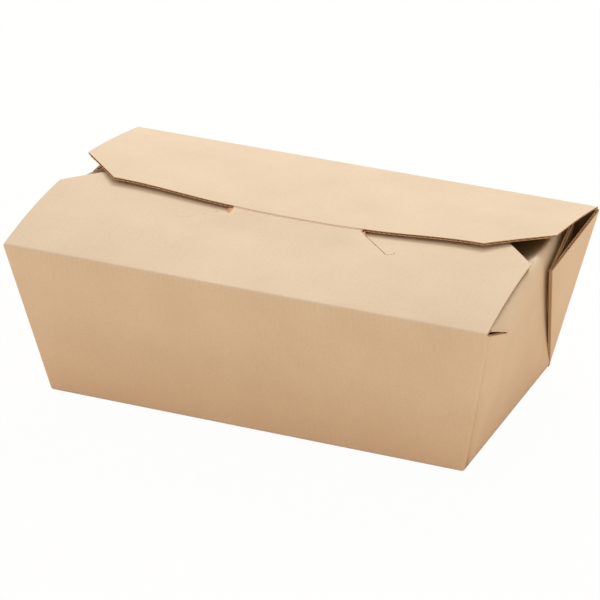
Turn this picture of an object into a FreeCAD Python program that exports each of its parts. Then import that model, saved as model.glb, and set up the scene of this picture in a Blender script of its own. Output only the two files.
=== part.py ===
import FreeCAD, Part, Sketcher
import math
import os

# Takeaway box of thin corrugated board, folded from one blank.
# Frame: origin at the middle of the base, X along the long front, +Y to the hinged rear, +Z up.
# Two pieces of the one sheet are kept apart, because the rear flap swings on its crease:
# box_body is the base, the four leaning walls, the folded corner webs, the two dust flaps
# and the front flap with its lock tab; rear_flap is the lid flap with the tongue that locks.

V = FreeCAD.Vector
doc = FreeCAD.newDocument("takeaway_box")
os.makedirs("parts", exist_ok=True)

# Driving sizes in millimetres
SIZES = [
    ("board", 1.2, "thickness of the board"),
    ("clearance", 0.3, "gap between sheets that slide on each other"),
    ("base_length", 169.8, "base, left to right"),
    ("base_width", 97.2, "base, front to rear"),
    ("rim_length", 195.2, "rim, left to right, at the front and rear walls"),
    ("rim_width", 124.4, "rim, front to rear"),
    ("wall_height", 65.0, "height of the rim creases"),
    ("base_corner", 0.8, "cut across each corner of the base"),
    ("end_front_lean", 16.3, "how far an end wall leans out at its front edge"),
    ("end_rear_lean", 6.6, "how far it leans out at its rear edge, behind the outer web"),
    ("end_half_width", 47.0, "half of the end wall's width between its web creases"),
    ("end_wall_top", 60.0, "height where the end wall turns into its dust flap bend"),
    ("bend_radius", 4.5, "outside of the soft bend from end wall to dust flap"),
    ("dust_flap_inner", 52.0, "where a dust flap stops, from the middle"),
    ("dust_flap_taper", 9.0, "how much narrower the dust flap is there, each side"),
    ("flap_side_short", 13.6, "how far short of the centre line a top flap's straight sides stop"),
    ("flap_side_inset", 1.2, "how far a flap's side draws in over that depth"),
    ("flap_root_inset", 0.7, "flap's root inside the rim's corner, each side"),
    ("flap_corner_half", 75.7, "half width of the flap's free edge, inside its slanted corners"),
    ("flap_corner_past", 8.5, "how far past the centre line the flap reaches at those corners"),
    ("rear_side_rise", 8.0, "rear flap above its crease, at the side depth"),
    ("rear_corner_rise", 10.0, "rear flap above its crease, at the corner depth"),
    ("rear_centre_share", 0.5, "share of that rise left on the centre line"),
    ("front_side_rise", 7.2, "front flap above its crease, at the side depth"),
    ("front_corner_rise", 6.9, "front flap above its crease, at the corner depth"),
    ("front_centre_share", 0.39, "share of that rise left on the centre line"),
    ("bow_half_span", 80.0, "from the middle to where the flaps lie flat on the dust flaps"),
    ("seam_past", 5.5, "how far past the centre line the rear flap reaches at the lock seam"),
    ("seam_half", 27.0, "half length of the lock seam"),
    ("tongue_depth", 10.0, "how deep the rear flap's tongue turns down into the slit"),
    ("tongue_taper", 5.0, "how much narrower the tongue is at its tip, each side"),
    ("tab_depth", 15.0, "depth of the front flap's lock tab, from seam to crease"),
    ("tab_leg_run", 14.0, "how far each slanted leg of the tab's cut spreads"),
    ("hook_depth", 3.0, "turned end of each leg, which stops a tear"),
    ("hook_length", 3.6, "length of that turned end across the flap"),
    ("cut_width", 0.5, "width of the tab's cut"),
    ("web_reach", 44.5, "from an end wall's rear edge to the outer web's tip"),
    ("front_web_reach", 27.0, "from the front corner to the inner web's fold, at its top"),
    ("front_web_top", 61.0, "height of the inner web's top edge"),
    ("groove_width", 0.5, "slit beside the folded front corner"),
]

sheet = doc.addObject("Spreadsheet::Sheet", "Sizes")
for row, (alias, value, note) in enumerate(SIZES, start=1):
    sheet.set("A%d" % row, note)
    sheet.set("B%d" % row, str(value))
    sheet.setAlias("B%d" % row, alias)
doc.recompute()


def size(alias):
    """A driving size, read back from the sheet."""
    return float(sheet.get(alias))


def evaluate(text):
    """The present value of an expression on the sheet, in millimetres."""
    value = sheet.evalExpression(text)
    return float(getattr(value, "Value", value))


board = size("board")
clearance = size("clearance")
height = size("wall_height")
rim_x = size("rim_length") / 2
rim_y = size("rim_width") / 2
base_x = size("base_length") / 2
base_y = size("base_width") / 2
end_y = size("end_half_width")
side_depth = rim_y - size("flap_side_short")
corner_depth = rim_y + size("flap_corner_past")
seam_depth = rim_y + size("seam_past")


# Sketches whose corners are bound to the sheet

def mirrored(loop):
    """The same loop on the other side of the centre line."""
    return [("-(%s)" % x, y) for x, y in reversed(loop)]


def corner_sketch(sketch, loops):
    """Closed straight-sided loops of (x, y) expressions, which stay bound to the sheet."""
    bindings = []
    for loop in loops:
        points = [V(evaluate(x), evaluate(y), 0) for x, y in loop]
        count = len(points)
        first = sketch.GeometryCount
        for index, point in enumerate(points):
            sketch.addGeometry(Part.LineSegment(point, points[(index + 1) % count]), False)
        for index in range(count):
            sketch.addConstraint(Sketcher.Constraint(
                "Coincident", first + index, 2, first + (index + 1) % count, 1))
        for index, corner in enumerate(loop):
            for kind, text in zip(("DistanceX", "DistanceY"), corner):
                vertex = (first + index, 1)
                value = evaluate(text)
                ends = (-1, 1) + vertex if value > 0 else vertex + (-1, 1)
                number = sketch.addConstraint(Sketcher.Constraint(kind, *ends, abs(value)))
                label = "%s_%d" % (kind[-1].lower(), first + index)
                sketch.renameConstraint(number, label)
                bindings.append((label, text if value > 0 else "-(%s)" % text))
    for label, text in bindings:
        sketch.setExpression("Constraints." + label, text)
    return sketch


def mixed(low, high, share):
    """Expression for a value that runs from low to high as share goes from 0 to 1."""
    return "(%s) + ((%s) - (%s)) * (%s)" % (low, high, low, share)


# Tray: base and four leaning walls, lofted outside and inside

tray = doc.addObject("PartDesign::Body", "tray")
base_plane = next(f for f in tray.Origin.OriginFeatures if f.Role == "XY_Plane")


def tray_outline(share, inset):
    """The eight corners of the tray at a share of its height, moved inwards by inset."""
    end_base = "Sizes.base_length / 2"
    side_x = mixed(end_base + " - Sizes.base_corner", "Sizes.rim_length / 2", share)
    side_y = mixed("Sizes.base_width / 2", "Sizes.rim_width / 2", share)
    edge_y = mixed("Sizes.base_width / 2 - Sizes.base_corner", "Sizes.end_half_width", share)
    front_x = mixed(end_base, end_base + " + Sizes.end_front_lean", share)
    rear_x = mixed(end_base, end_base + " + Sizes.end_rear_lean", share)
    side_x, side_y, front_x, rear_x = (
        "%s - %s" % (text, inset) for text in (side_x, side_y, front_x, rear_x))
    right = [
        (side_x, "-(%s)" % side_y),
        (front_x, "-(%s)" % edge_y),
        (rear_x, edge_y),
        (side_x, side_y),
    ]
    return right + mirrored(right)


def tray_section(name, level, share, inset):
    """The tray's outline on a level plane of its body."""
    sketch = tray.newObject("Sketcher::SketchObject", name)
    sketch.AttachmentSupport = (base_plane, [""])
    sketch.MapMode = "FlatFace"
    sketch.setExpression("AttachmentOffset.Base.z", level)
    return corner_sketch(sketch, [tray_outline(share, inset)])


low_share = "Sizes.board / Sizes.wall_height"
outside = tray.newObject("PartDesign::AdditiveLoft", "tray_outside")
outside.Profile = tray_section("outside_low", "0", "0", "0")
outside.Sections = [tray_section("outside_high", "Sizes.wall_height", "1", "0")]
outside.Ruled = True
doc.recompute()

inside = tray.newObject("PartDesign::SubtractiveLoft", "tray_inside")
inside.Profile = tray_section("inside_low", "Sizes.board", low_share, "Sizes.board")
inside.Sections = [tray_section("inside_high", "Sizes.wall_height", "1", "Sizes.board")]
inside.Ruled = True
doc.recompute()


# Cuts in the tray: the end walls stop at the dust flap's bend, the rear wall stops under the
# rear flap, and the rear corners are open between end wall and the web that wraps round them

def bound_box(name, spans):
    """A box from low and high expressions along X, Y and Z."""
    box = doc.addObject("Part::Box", name)
    for edge, axis, (low, high) in zip(("Length", "Width", "Height"), "xyz", spans):
        box.setExpression(edge, "(%s) - (%s)" % (high, low))
        box.setExpression("Placement.Base." + axis, low)
    return box


def pushed_up(name, loops, low, high):
    """Closed outlines in plan, pushed up from low to high."""
    sketch = corner_sketch(doc.addObject("Sketcher::SketchObject", name + "_outline"), loops)
    sketch.setExpression("Placement.Base.z", low)
    solid = doc.addObject("Part::Extrusion", name)
    solid.Base = sketch
    solid.DirMode = "Custom"
    solid.Dir = V(0, 0, 1)
    solid.setExpression("LengthFwd", "(%s) - (%s)" % (high, low))
    solid.Solid = True
    return solid


beyond_x = "Sizes.rim_length"
above = "Sizes.wall_height * 2"
inner_y = "(%s - Sizes.board)" % mixed(
    "Sizes.base_width / 2", "Sizes.rim_width / 2", "Sizes.end_wall_top / Sizes.wall_height")
end_cut = bound_box("end_cut", [
    ("-" + beyond_x, beyond_x),
    ("-" + inner_y, inner_y),
    ("Sizes.end_wall_top", above),
])
rear_cut = bound_box("rear_cut", [
    ("-" + beyond_x, beyond_x),
    (inner_y, "Sizes.rim_width"),
    ("Sizes.wall_height - Sizes.board - Sizes.clearance", above),
])
rear_corner = [
    ("Sizes.base_length / 2", "Sizes.base_width / 2"),
    ("Sizes.base_length / 2 + Sizes.end_rear_lean", "Sizes.end_half_width"),
    ("Sizes.rim_length / 2", "Sizes.rim_width / 2"),
]
rear_corners = pushed_up(
    "rear_corners", [rear_corner, mirrored(rear_corner)], "Sizes.board", above)


# Places on the walls

def wall_point(low, high, level):
    """The point at a level on the straight edge from low, on the base, to high, on the rim."""
    return low + (high - low) * (level / height)


def end_wall_x(along, level):
    """Outside of the right end wall, at a distance along Y and a height."""
    top_share = (along + end_y) / (2 * end_y)
    lean = size("end_front_lean") + (size("end_rear_lean") - size("end_front_lean")) * top_share
    return base_x + lean * level / height


# Sheets in space

def plate(corners, inward):
    """A flat sheet of board from its outside corners, with its thickness on the inward side."""
    face = Part.Face(Part.makePolygon(corners + corners[:1]))
    normal = face.normalAt(0, 0)
    if normal.dot(inward) < 0:
        normal = -normal
    return face.extrude(normal * board)


def both_sides(name, shape):
    """The right-hand shape and its mirror image on the left, as one object."""
    feature = doc.addObject("Part::Feature", name)
    other = shape.mirror(V(0, 0, 0), V(1, 0, 0))
    feature.Shape = Part.makeCompound([shape, other])
    return feature


leaf_overlap = board / 6     # folded leaves share this much, so that each web is one solid
seat = board / 12            # how far a sheet is set into the one that carries it


# Rear webs, folded outside the end walls: an inner leaf from the end wall's rear edge to the
# fold, and an outer leaf from the fold round to the rear wall, with an open pocket between

rear_wall_top = height - board - clearance
rear_low = V(base_x, base_y, 0)
rear_high = wall_point(rear_low, V(rim_x, rim_y, height), rear_wall_top)
tip_y = end_y - size("web_reach")
tip_wall_x = end_wall_x(tip_y, rear_wall_top)
inner_tip_x = tip_wall_x + clearance
outer_tip_x = inner_tip_x + 2 * board - leaf_overlap
inner_leaf = plate(
    [
        V(base_x - board / 2, base_y, board / 2),
        V(end_wall_x(end_y, size("end_wall_top")) - board / 2, end_y, size("end_wall_top")),
        V(inner_tip_x, tip_y, rear_wall_top),
    ],
    V(1, 0, 0),
)
outer_leaf = plate([rear_low, V(outer_tip_x, tip_y, rear_wall_top), rear_high], V(-1, 0, 0))
rear_webs = both_sides("rear_webs", inner_leaf.fuse(outer_leaf))


# Front webs, folded inside the front wall: two leaves that share a fold

front_low = V(base_x, -base_y, 0)
front_top = size("front_web_top")
front_high = wall_point(front_low, V(rim_x, -rim_y, height), front_top)
front_fold = front_high - V(size("front_web_reach"), 0, 0)
wall_normal = V(0, height, rim_y - base_y).normalize()


def front_leaf(depth):
    """A web leaf lying behind the front wall, its front at a depth from the wall's outside."""
    shift = wall_normal * depth
    return plate([front_low + shift, front_high + shift, front_fold + shift], wall_normal)


front_webs = both_sides(
    "front_webs", front_leaf(board - leaf_overlap).fuse(front_leaf(2 * (board - leaf_overlap))))

groove_start = wall_normal * (2 * board)
groove_reach = V(board, 0, 0)
groove_foot_z = 3 * board
rim_corner = V(rim_x, -rim_y, height)
groove_low = wall_point(front_low, rim_corner, groove_foot_z) + groove_start
groove_high = wall_point(front_low, rim_corner, 2 * height) + groove_start
groove_face = Part.Face(Part.makePolygon([
    groove_low + groove_reach,
    groove_high + groove_reach,
    groove_high - groove_reach,
    groove_low - groove_reach,
    groove_low + groove_reach,
]))
groove_slot = groove_face.extrude(wall_normal * size("groove_width"))
front_grooves = both_sides("front_grooves", groove_slot)


# Bowed top flaps. Each rises from its crease on a parabola, and sags between the dust flaps

def rise(depth, side_rise, corner_rise):
    """Height above the crease at a depth in plan: a parabola through two measured depths."""
    near_slope = side_rise / side_depth
    far_slope = corner_rise / corner_depth
    bend = (far_slope - near_slope) / (corner_depth - side_depth)
    return depth * (near_slope + bend * (depth - side_depth))


def bow(across, centre_share):
    """Share of the rise at a distance from the centre line, smooth and level at both ends."""
    reach = min(abs(across) / size("bow_half_span"), 1.0)
    return centre_share + (1 - centre_share) * math.sin(reach * math.pi / 2) ** 3


def rear_top(across, along):
    """Top of the rear flap at a place in plan."""
    lift = rise(rim_y - along, size("rear_side_rise"), size("rear_corner_rise"))
    return height + lift * bow(across, size("rear_centre_share"))


def front_top_of_flap(across, along):
    """Top of the front flap at a place in plan."""
    depth = min(rim_y + along, corner_depth)
    lift = rise(depth, size("front_side_rise"), size("front_corner_rise"))
    return height + lift * bow(across, size("front_centre_share"))


def steps(low, high, count):
    """Evenly spaced values from low to high."""
    return [low + (high - low) * index / (count - 1) for index in range(count)]


def bowed_sheet(name, surface, across, along):
    """A sheet one board thick whose top passes through the surface's heights."""
    grid = [[V(x, y, surface(x, y)) for y in along] for x in across]
    top = Part.BSplineSurface()
    top.interpolate(grid)
    feature = doc.addObject("Part::Feature", name)
    feature.Shape = top.toShape().extrude(V(0, 0, -board))
    return feature


seam_y = -size("seam_past")
front_edge_y = size("flap_corner_past")
corner_y = -size("flap_corner_past")
hinge_radius = math.hypot(seam_depth, rear_top(0, seam_y) - height)
tab_edge_y = rim_y - hinge_radius - clearance
slit_rear_y = rim_y - hinge_radius + board + 2 * clearance
tab_crease_y = tab_edge_y - size("tab_depth")
wide = steps(-rim_x, rim_x, 13)

rear_sheet = bowed_sheet(
    "rear_sheet", rear_top, wide, steps(corner_y - board, rim_y, 7))
front_sheet = bowed_sheet(
    "front_sheet", front_top_of_flap, wide, steps(-rim_y + board / 2, front_edge_y, 7))


def tab_top(across, along):
    """The lock tab bends up from its crease until its edge is level with the rear flap."""
    share = (along - tab_crease_y) / (tab_edge_y - tab_crease_y)
    flap = front_top_of_flap(across, along)
    step = rear_top(across, seam_y) - front_top_of_flap(across, tab_edge_y)
    crease_dip = board / 8
    return flap + step * share - crease_dip * (1 - share)


tab_half = size("seam_half") + size("tab_leg_run")
tab_sheet = bowed_sheet(
    "tab_sheet", tab_top, steps(-tab_half - board, tab_half + board, 9),
    steps(tab_crease_y - board, tab_edge_y, 5))


# Plan outlines that trim the bowed sheets

def both(right):
    """A loop from its right half, given from low Y to high Y or back."""
    return right + mirrored(right)


root_x = "Sizes.rim_length / 2 - Sizes.flap_root_inset"
side_x = "Sizes.rim_length / 2 - Sizes.flap_side_inset"
rim = "Sizes.rim_width / 2"
rear_blank = pushed_up("rear_blank", [both([
    ("Sizes.seam_half", "-Sizes.seam_past"),
    ("Sizes.flap_corner_half", "-Sizes.flap_corner_past"),
    (side_x, "Sizes.flap_side_short"),
    (root_x, rim),
])], "0", above)
front_blank = pushed_up("front_blank", [both([
    (root_x, "-" + rim),
    (side_x, "-Sizes.flap_side_short"),
    ("Sizes.flap_corner_half", "Sizes.flap_corner_past"),
])], "0", above)

tab_edge = "%.4f" % tab_edge_y
tab_crease = "(%s - Sizes.tab_depth)" % tab_edge
leg_foot = "Sizes.seam_half + Sizes.tab_leg_run"
hook_end = leg_foot + " + Sizes.hook_length"
lock_cut = pushed_up("lock_cut", [both([
    (leg_foot, tab_crease),
    ("Sizes.seam_half + Sizes.clearance", tab_edge),
    ("Sizes.seam_half + Sizes.clearance", "%.4f" % slit_rear_y),
])], "0", above)
hook = [
    (leg_foot + " - Sizes.cut_width", tab_crease),
    (hook_end, tab_crease),
    (hook_end, tab_crease + " + Sizes.hook_depth"),
    (hook_end + " - Sizes.cut_width", tab_crease + " + Sizes.hook_depth"),
    (hook_end + " - Sizes.cut_width", tab_crease + " + Sizes.cut_width"),
    (leg_foot + " - Sizes.cut_width * 2", tab_crease + " + Sizes.cut_width"),
]
hook_cuts = pushed_up("hook_cuts", [hook, mirrored(hook)], "0", above)
tab_blank = pushed_up("tab_blank", [both([
    (leg_foot + " - Sizes.cut_width * 2", tab_crease + " - Sizes.board / 2"),
    (leg_foot + " - Sizes.cut_width * 2", tab_crease),
    ("Sizes.seam_half - Sizes.cut_width", tab_edge),
])], "0", above)


def joined(kind, name, base, tool):
    """Two solids cut, fused or kept where they meet."""
    result = doc.addObject("Part::" + kind, name)
    result.Base = base
    result.Tool = tool
    return result


def gathered(name, parts):
    """Several solids fused into one."""
    result = doc.addObject("Part::MultiFuse", name)
    result.Shapes = parts
    return result


front_trimmed = joined("Common", "front_trimmed", front_sheet, front_blank)
lock_cuts = gathered("lock_cuts", [lock_cut, hook_cuts])
front_flap = joined("Cut", "front_flap", front_trimmed, lock_cuts)
lock_tab = joined("Common", "lock_tab", tab_sheet, tab_blank)


# Dust flaps: each end wall bends inwards over a soft radius and runs in under the top flaps

bend = size("bend_radius")
dust_x = size("dust_flap_inner")


def under_flaps(across, along):
    """Highest place for the dust flap's top, clear of both top flaps."""
    return min(rear_top(across, along), front_top_of_flap(across, along)) - board - clearance


def end_profile(along):
    """Section of the right end wall's bend and dust flap, at a distance along Y."""
    foot_z = size("end_wall_top") - bend + seat
    foot = V(end_wall_x(along, foot_z) - seat, along, foot_z)
    up = V(end_wall_x(along, height) - base_x, 0, height).normalize()
    wall_out = V(up.z, 0, -up.x)
    crown = under_flaps(end_wall_x(along, height) - bend, along)
    middle_z = crown - bend
    start = foot + up * ((middle_z + bend * wall_out.z - foot_z) / up.z)
    middle = start - wall_out * bend
    inward = V(dust_x - middle.x, 0, under_flaps(dust_x, along) - crown).normalize()
    flap_out = V(inward.z, 0, -inward.x)
    half_out = (wall_out + flap_out).normalize()
    run = (middle.x + flap_out.x * bend - dust_x) / -inward.x

    def line_and_arc(radius):
        begin = middle + wall_out * radius
        finish = middle + flap_out * radius
        tip = finish + inward * run
        low = foot - wall_out * (bend - radius)
        arc = Part.Arc(begin, middle + half_out * radius, finish).toShape()
        return low, tip, [Part.makeLine(low, begin), arc, Part.makeLine(finish, tip)]

    outer_foot, outer_tip, outer = line_and_arc(bend)
    inner_foot, inner_tip, inner = line_and_arc(bend - board)
    caps = [Part.makeLine(outer_tip, inner_tip), Part.makeLine(inner_foot, outer_foot)]
    return Part.Wire(Part.__sortEdges__(outer + inner + caps))


dust_loft = Part.makeLoft([end_profile(y) for y in steps(-end_y, end_y, 9)], True, True)
dust_sheets = both_sides("dust_sheets", dust_loft)
dust_side = [
    ("Sizes.dust_flap_inner - Sizes.board", "-(Sizes.end_half_width - Sizes.dust_flap_taper)"),
    ("Sizes.base_length / 2 + Sizes.board", "-Sizes.end_half_width"),
    (beyond_x, "-Sizes.end_half_width"),
    (beyond_x, "Sizes.end_half_width"),
    ("Sizes.base_length / 2 + Sizes.board", "Sizes.end_half_width"),
    ("Sizes.dust_flap_inner - Sizes.board", "Sizes.end_half_width - Sizes.dust_flap_taper"),
]
dust_blank = pushed_up("dust_blank", [dust_side, mirrored(dust_side)], "0", above)
dust_flaps = joined("Common", "dust_flaps", dust_sheets, dust_blank)


# Box body: everything of the sheet that stays put, as one solid

openings = gathered("openings", [end_cut, rear_cut, rear_corners])
tray_open = joined("Cut", "tray_open", tray, openings)
tray_webbed = gathered("tray_webbed", [tray_open, rear_webs])
tray_grooved = joined("Cut", "tray_grooved", tray_webbed, front_grooves)
box_body = gathered(
    "box_body", [tray_grooved, front_webs, front_flap, lock_tab, dust_flaps])


# Rear flap: the bowed sheet and the tongue that turns down into the slit on the hinge's arc

rear_trimmed = joined("Common", "rear_trimmed", rear_sheet, rear_blank)
tongue_top = rear_top(0, seam_y) - seat
tongue_side = math.degrees(math.asin((tongue_top - height) / hinge_radius))
tongue_drop = math.degrees(size("tongue_depth") / hinge_radius)
half_tongue = size("seam_half") - size("cut_width") / 2
ring = Part.makeCylinder(hinge_radius, 2 * half_tongue, V(-half_tongue, rim_y, height), V(1, 0, 0))
ring = ring.cut(Part.makeCylinder(
    hinge_radius - board, 2 * half_tongue, V(-half_tongue, rim_y, height), V(1, 0, 0)))


def arc_point(degrees, radius):
    """A place beside the hinge, at an angle above its level and a radius."""
    angle = math.radians(degrees)
    return V(-rim_x, rim_y - radius * math.cos(angle), height + radius * math.sin(angle))


sector = Part.Face(Part.makePolygon([
    arc_point(tongue_side, 0),
    arc_point(tongue_side, 2 * hinge_radius),
    arc_point(tongue_side - tongue_drop, 2 * hinge_radius),
    arc_point(tongue_side, 0),
])).extrude(V(2 * rim_x, 0, 0))
tip_z = height + hinge_radius * math.sin(math.radians(tongue_side - tongue_drop))
tip_half = half_tongue - size("tongue_taper")
taper = Part.Face(Part.makePolygon([
    V(-half_tongue, -rim_y, tongue_top),
    V(half_tongue, -rim_y, tongue_top),
    V(half_tongue, -rim_y, tip_z + size("tongue_taper")),
    V(tip_half, -rim_y, tip_z - board),
    V(-tip_half, -rim_y, tip_z - board),
    V(-half_tongue, -rim_y, tip_z + size("tongue_taper")),
    V(-half_tongue, -rim_y, tongue_top),
])).extrude(V(0, rim_y, 0))
tongue = doc.addObject("Part::Feature", "tongue")
tongue.Shape = ring.common(sector).common(taper)
rear_flap = gathered("rear_flap", [rear_trimmed, tongue])


# Check every object, then write each sub-part

NODES = [box_body, rear_flap]
doc.recompute()
for item in doc.Objects:
    if "Invalid" in item.State or "Error" in item.State:
        raise RuntimeError("%s failed: %s" % (item.Label, item.State))
for node in NODES:
    shape = node.Shape
    if shape.isNull() or not shape.isValid() or len(shape.Solids) != 1:
        raise RuntimeError("%s is not one valid solid" % node.Label)
    shape.exportStep("parts/%s.step" % node.Label)
    print(node.Label, round(shape.Volume), shape.BoundBox)
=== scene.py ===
# %% [markdown]
# A takeaway box of corrugated board
#
# The real box is one flat sheet of thin corrugated board. It is die-cut, scored and folded, and
# nothing is glued. This lesson makes it the same way: the blank is drawn flat, cut into three
# layers as a board mill makes them (an outer liner, a wavy medium and an inner liner), and then
# each layer is folded into place. Because the flutes are real geometry, every cut edge shows them.

import math

import bmesh
import bpy
from mathutils import Matrix, Vector


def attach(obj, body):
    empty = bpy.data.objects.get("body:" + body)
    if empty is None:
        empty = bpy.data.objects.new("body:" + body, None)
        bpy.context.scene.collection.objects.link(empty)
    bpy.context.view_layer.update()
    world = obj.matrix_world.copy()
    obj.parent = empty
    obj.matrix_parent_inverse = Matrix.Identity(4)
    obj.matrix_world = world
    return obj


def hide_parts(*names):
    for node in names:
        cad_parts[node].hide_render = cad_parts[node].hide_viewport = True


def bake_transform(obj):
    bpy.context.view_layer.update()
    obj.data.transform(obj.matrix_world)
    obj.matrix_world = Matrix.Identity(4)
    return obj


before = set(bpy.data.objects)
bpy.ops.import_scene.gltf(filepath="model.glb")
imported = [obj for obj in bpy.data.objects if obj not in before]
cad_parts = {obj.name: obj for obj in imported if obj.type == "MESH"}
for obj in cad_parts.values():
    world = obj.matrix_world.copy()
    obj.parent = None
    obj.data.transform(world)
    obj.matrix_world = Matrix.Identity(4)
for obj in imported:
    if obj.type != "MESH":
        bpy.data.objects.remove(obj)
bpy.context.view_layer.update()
MM = 0.001

# %% [markdown]
# Camera
#
# The photograph was taken from above the front right corner with a long lens, so parallel edges
# stay nearly parallel. The camera's place is given as two angles and a distance, then a small
# shift sideways and up, which keeps the box where it is in the picture. A slight roll about the
# line of sight stands for a camera that wasn't held quite level.

# %% Camera
AZIMUTH, ELEVATION, ROLL = 0.38695, 0.44475, 0.01191
DISTANCE, SHIFT_RIGHT, SHIFT_UP = 1527.556, -1.132, 30.0
LENS, SENSOR = 235.8, 36
NEAREST, FURTHEST = 0.05, 20
back = Vector((
    math.sin(AZIMUTH) * math.cos(ELEVATION),
    -math.cos(AZIMUTH) * math.cos(ELEVATION),
    math.sin(ELEVATION)))
level_right = Vector((math.cos(AZIMUTH), math.sin(AZIMUTH), 0))
level_up = back.cross(level_right)
place = (back * DISTANCE + level_right * SHIFT_RIGHT + level_up * SHIFT_UP) * MM
right = level_right * math.cos(ROLL) + level_up * math.sin(ROLL)
up = level_up * math.cos(ROLL) - level_right * math.sin(ROLL)

lens = bpy.data.cameras.new("camera")
lens.lens = LENS
lens.sensor_width = SENSOR
lens.clip_start, lens.clip_end = NEAREST, FURTHEST
camera = bpy.data.objects.new("camera", lens)
camera.matrix_world = Matrix.Translation(place) @ Matrix((right, up, back)).transposed().to_4x4()
bpy.context.scene.collection.objects.link(camera)
bpy.context.scene.camera = camera
print("camera at", [round(c, 3) for c in place], "m")

# %% [markdown]
# Sizes
#
# Lengths here are in millimetres, because a box maker thinks in them, and become metres as a
# layer is folded. The blank is measured from the middle of the base: u runs to the right and v to
# the front, so v grows along the front wall's side of the sheet, out to the front flap's edge.

# %% Sizes of the board
BOARD, LINER, MEDIUM = 1.2, 0.2, 0.15
FLUTE_PITCH = 2.1
CLEAR = 0.3

# %% [markdown]
# The tray's walls are given by their corners at the base and at the rim. The end walls lean out
# by one amount at the front and by another at the rear. A flap is given by how far from its crease
# its sides and its cut corners reach, and by its half width at each of these places.

# %% Sizes of the folded box
WALL = 65.0
BASE_X, BASE_Y = 84.9, 48.6
RIM_X, RIM_Y = 97.6, 62.2
REAR_RIM_X = RIM_X + 1.0
END_Y = 47.0
LEAN_FRONT, LEAN_REAR = 16.3, 6.6
FLAP_ROOT, FLAP_SIDE, FLAP_CORNER = 2.5, 48.6, 70.7
ROOT_X, REAR_ROOT_X = RIM_X - 0.7, REAR_RIM_X - 1.2
SIDE_X = RIM_X - 1.2
REAR_SIDE_X = SIDE_X + 0.7
CORNER_X = 75.7
SEAM, SEAM_X = 67.7, 27.0
slope = math.hypot(WALL, RIM_Y - BASE_Y)
flare = RIM_X - BASE_X
crease_v = BASE_Y + slope
print("wall slope", round(slope, 2), "top creases at v", round(crease_v, 2))

# %% [markdown]
# How the top flaps bow
#
# Each top flap rises from its crease on a parabola, because the dust flaps under it hold its ends
# up. Between the dust flaps it sags. Both rules are the ones that the solids follow, so the
# folded flaps keep to the solids' flaps.
#
# A flap's rise is given at its side and at its cut corner. Its sag is the share of that rise which
# is left in its middle.

# %% Bowed surfaces of the two top flaps
REAR_RISE, REAR_SAG = (8.0, 10.0), 0.5
FRONT_RISE, FRONT_SAG = (7.2, 6.9), 0.39
BOW_X = 80.0


def rise(depth, side_rise, corner_rise):
    bend = (corner_rise / FLAP_CORNER - side_rise / FLAP_SIDE) / (FLAP_CORNER - FLAP_SIDE)
    return depth * (side_rise / FLAP_SIDE + bend * (depth - FLAP_SIDE))


def bow(x, centre):
    return centre + (1 - centre) * math.sin(min(abs(x) / BOW_X, 1) * math.pi / 2) ** 3


def rear_height(x, depth):
    return WALL + rise(depth, *REAR_RISE) * bow(x, REAR_SAG)


def front_height(x, depth):
    return WALL + rise(min(depth, FLAP_CORNER), *FRONT_RISE) * bow(x, FRONT_SAG)


# %% [markdown]
# The lid's tongue swings down on a circle about the rear crease. The lock tab of the front flap
# ends just short of that circle, and the slit behind it leaves room for the tongue's thickness.

# %% Place of the lock
TAB_LONG = 15.0
TAB_ROOT_X, TAB_TAPER = 40.5, 13.6
hinge_radius = math.hypot(SEAM, rear_height(0, SEAM) - WALL)
tab_edge = 2 * RIM_Y - hinge_radius - CLEAR
slit_rear = tab_edge + BOARD + 3 * CLEAR
tab_root = tab_edge - TAB_LONG
print("lock tab from", round(tab_root, 2), "to", round(tab_edge, 2), "mm from the front crease")

# %% [markdown]
# Creases and folds
#
# A crease in board is never sharp. Where the sheet turns a corner it follows a short curve, here
# a quadratic curve with the crease line as its control point. Where it folds right back on itself
# it needs an arc as wide as the board is thick, twice over.

# %% Radii of the creases
BASE_CREASE, TOP_CREASE, TONGUE_CREASE = 1.0, 1.2, 0.5
CORNER_WRAP = 1.5
FOLD_RADIUS, WEB_FOLD = 1.25, 0.6

# %% [markdown]
# Two helpers place a point near a crease. Each takes the distance from the crease on the flat
# sheet and gives an offset in space, so a panel adds it to a point of its crease line.


# %% Offsets from a crease line
def crease(distance, before, after, radius):
    """Offset from a crease, for a sheet that arrives along before and leaves along after."""
    if distance <= -radius:
        return before * distance
    if distance >= radius:
        return after * distance
    share = (distance + radius) / (2 * radius)
    return before * (-radius * (1 - share) ** 2) + after * (radius * share ** 2)


def turn_back(distance, ahead, side, radius):
    """Offset from the furthest line of a sheet that folds back on itself, towards side."""
    start, arc = -radius, math.pi * radius
    if distance <= start:
        return ahead * distance
    if distance >= start + arc:
        return ahead * (start + start + arc - distance) + side * (2 * radius)
    turn = (distance - start) / radius
    return ahead * (start + radius * math.sin(turn)) + side * (radius * (1 - math.cos(turn)))


# %% [markdown]
# Folding the long strip
#
# The front flap, front wall, base, rear wall and rear flap are one strip of the blank. At each
# side of the front wall the sheet goes on as a web that folds right back behind the wall. At each
# side of the rear wall another web wraps round the corner, outside the end wall, and folds back
# at its slanted edge. The tip of that web lies a little clear of the end wall.

# %% Directions and corners of the long strip
X, Y, Z = Vector((1, 0, 0)), Vector((0, 1, 0)), Vector((0, 0, 1))
front_up = Vector((0, BASE_Y - RIM_Y, WALL)) / slope
rear_up = Vector((0, RIM_Y - BASE_Y, WALL)) / slope
front_in = Vector((0, WALL, RIM_Y - BASE_Y)) / slope
rear_top = WALL - BOARD - CLEAR
WEB_TIP_Y, WEB_TIP_Z, WEB_OFF = 5.6, 61.4, 0.4


def lean_at(y):
    """How far the end wall leans out over its height, more at its front than at its rear."""
    return LEAN_FRONT + (LEAN_REAR - LEAN_FRONT) * (y + END_Y) / (2 * END_Y)


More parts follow.
